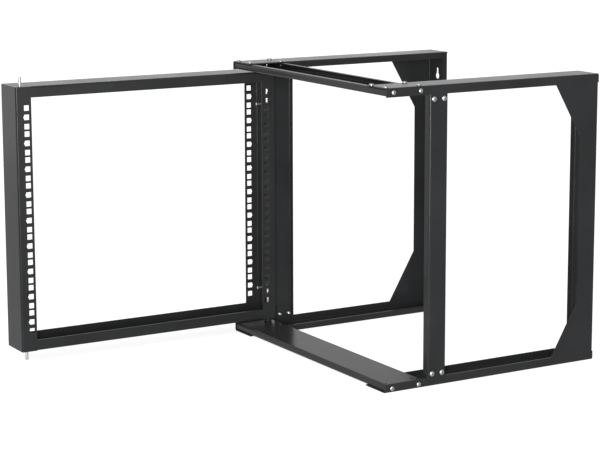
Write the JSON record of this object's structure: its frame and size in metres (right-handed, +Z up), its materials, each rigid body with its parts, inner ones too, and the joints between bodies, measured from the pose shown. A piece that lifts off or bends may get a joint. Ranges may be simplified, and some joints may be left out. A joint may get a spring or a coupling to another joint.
{
  "type": "open-frame wall rack with swing-out gate",
  "caption": "Open wall-mount equipment rack: folded black steel side frames and crossbars, with a swing-out gate of square-hole rack rails on pins.",
  "frame": {"origin": "on the floor under the middle of the outline, with the gate open at a right angle", "axes": "+Z up, +Y towards the wall, +X to the right of a person facing the rack"},
  "size_m": [0.551, 0.861, 0.5],
  "materials": {
    "black_paint": "semi-matt fine-textured black powder coat",
    "bright_zinc": "bright zinc plate"
  },
  "bodies": {
    "frame": {"left_top_rail": "black_paint", "right_top_rail": "black_paint", "left_bottom_rail": "black_paint", "right_bottom_rail": "black_paint", "left_back_upright": "black_paint", "right_back_upright": "black_paint", "left_front_post": "black_paint", "right_front_post": "black_paint", "top_crossbar": "black_paint", "bottom_crossbar": "black_paint"},
    "gate": {"gate_hinge_web": "black_paint", "gate_latch_web": "black_paint", "gate_hinge_back_rail": "black_paint", "gate_hinge_front_rail": "black_paint", "gate_latch_back_rail": "black_paint", "gate_latch_front_rail": "black_paint", "gate_top_bar": "black_paint", "gate_bottom_bar": "black_paint", "hinge_pin_top": "bright_zinc", "hinge_pin_bottom": "bright_zinc", "hinge_guide_top": "black_paint", "hinge_guide_bottom": "black_paint", "latch_guide_top": "black_paint", "latch_guide_bottom": "black_paint"},
    "latch_top": {"latch_pin_top": "bright_zinc"},
    "latch_bottom": {"latch_pin_bottom": "bright_zinc"}
  },
  "joints": [
    {"name": "gate_swing", "type": "hinge", "parent": "frame", "child": "gate", "pos_m": [-0.2195, 0.0615, 0.25], "axis": [0, 0, 1], "range_deg": [-15, 90]},
    {"name": "latch_top_slide", "type": "slide", "parent": "gate", "child": "latch_top", "axis": [0, 0, -1], "range_m": [0, 0.014], "stiffness_N_per_m": 300, "springref_m": -0.02},
    {"name": "latch_bottom_slide", "type": "slide", "parent": "gate", "child": "latch_bottom", "axis": [0, 0, 1], "range_m": [0, 0.014], "stiffness_N_per_m": 300, "springref_m": -0.02}
  ]
}
